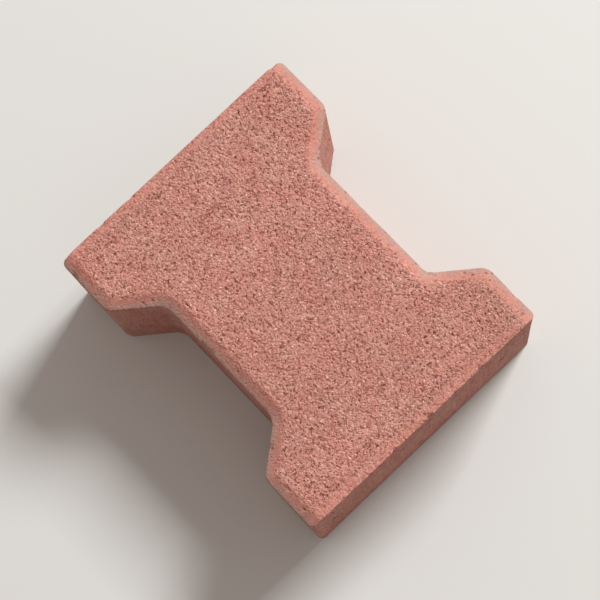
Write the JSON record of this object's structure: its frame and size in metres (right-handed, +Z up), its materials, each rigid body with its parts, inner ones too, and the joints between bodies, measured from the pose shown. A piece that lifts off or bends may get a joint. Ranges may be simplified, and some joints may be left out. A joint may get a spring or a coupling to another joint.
{
  "type": "concrete paving stone",
  "caption": "Waisted interlocking paving stone of red concrete, with stepped sides that lock into the next course and a bevel along both stepped sides.",
  "frame": {"origin": "middle of the bottom face, on which the stone lies", "axes": "+X along a course of stones, out of an end face; +Y across the course, out of a waisted side; +Z up, out of the wearing face"},
  "size_m": [0.197, 0.162, 0.08],
  "materials": {
    "red_concrete": "matte"
  },
  "bodies": {
    "root": {"paving_stone": "red_concrete"}
  },
  "joints": []
}
